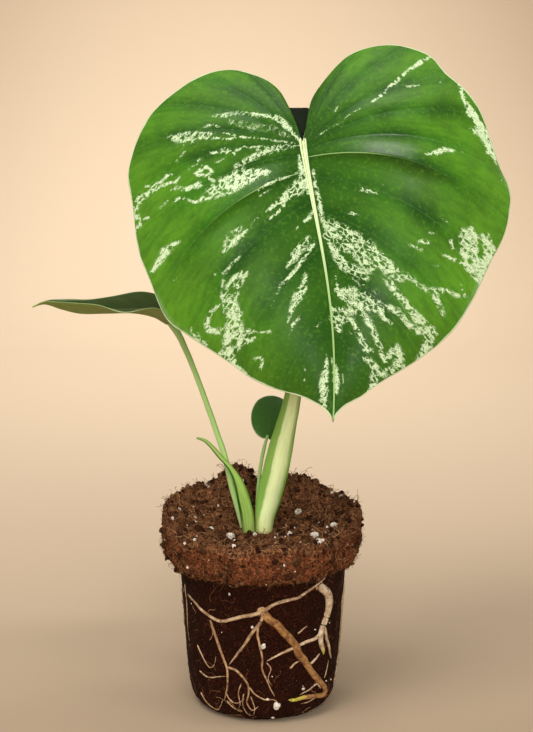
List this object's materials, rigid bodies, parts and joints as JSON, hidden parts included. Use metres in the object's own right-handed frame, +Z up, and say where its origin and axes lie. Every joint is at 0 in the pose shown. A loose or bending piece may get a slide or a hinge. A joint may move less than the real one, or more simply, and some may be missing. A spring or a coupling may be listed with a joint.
{
  "type": "young variegated swiss cheese plant with bare root ball",
  "caption": "Young variegated swiss cheese plant lifted from its pot: bare moulded root ball with roots on its wall, a big heart-shaped leaf, a thin left leaf and a small new leaf.",
  "frame": {"origin": "middle of the root ball's flat bottom, on the surface it stands on", "axes": "+Z up along the root ball, the big leaf faces -Y, the thin left leaf points to -X"},
  "size_m": [0.2864, 0.1567, 0.3982],
  "materials": {
    "soil": "matte",
    "root": "matte",
    "petiole": "satin",
    "leaf_variegated": "satin",
    "leaf_green": "satin",
    "sheath": "satin",
    "perlite": "matte"
  },
  "bodies": {
    "root": {"soil_plug": "soil", "rootstock": "root", "main_petiole": "petiole", "main_leaf_blade": "leaf_variegated", "left_petiole": "petiole", "left_leaf_blade": "leaf_green", "left_sheath": "sheath", "small_petiole": "petiole", "small_leaf_blade": "leaf_green", "perlite_01": "perlite", "perlite_02": "perlite", "perlite_03": "perlite", "perlite_04": "perlite", "perlite_05": "perlite", "perlite_06": "perlite", "perlite_07": "perlite", "perlite_08": "perlite", "perlite_09": "perlite", "perlite_10": "perlite", "perlite_11": "perlite", "perlite_12": "perlite"}
  },
  "joints": []
}
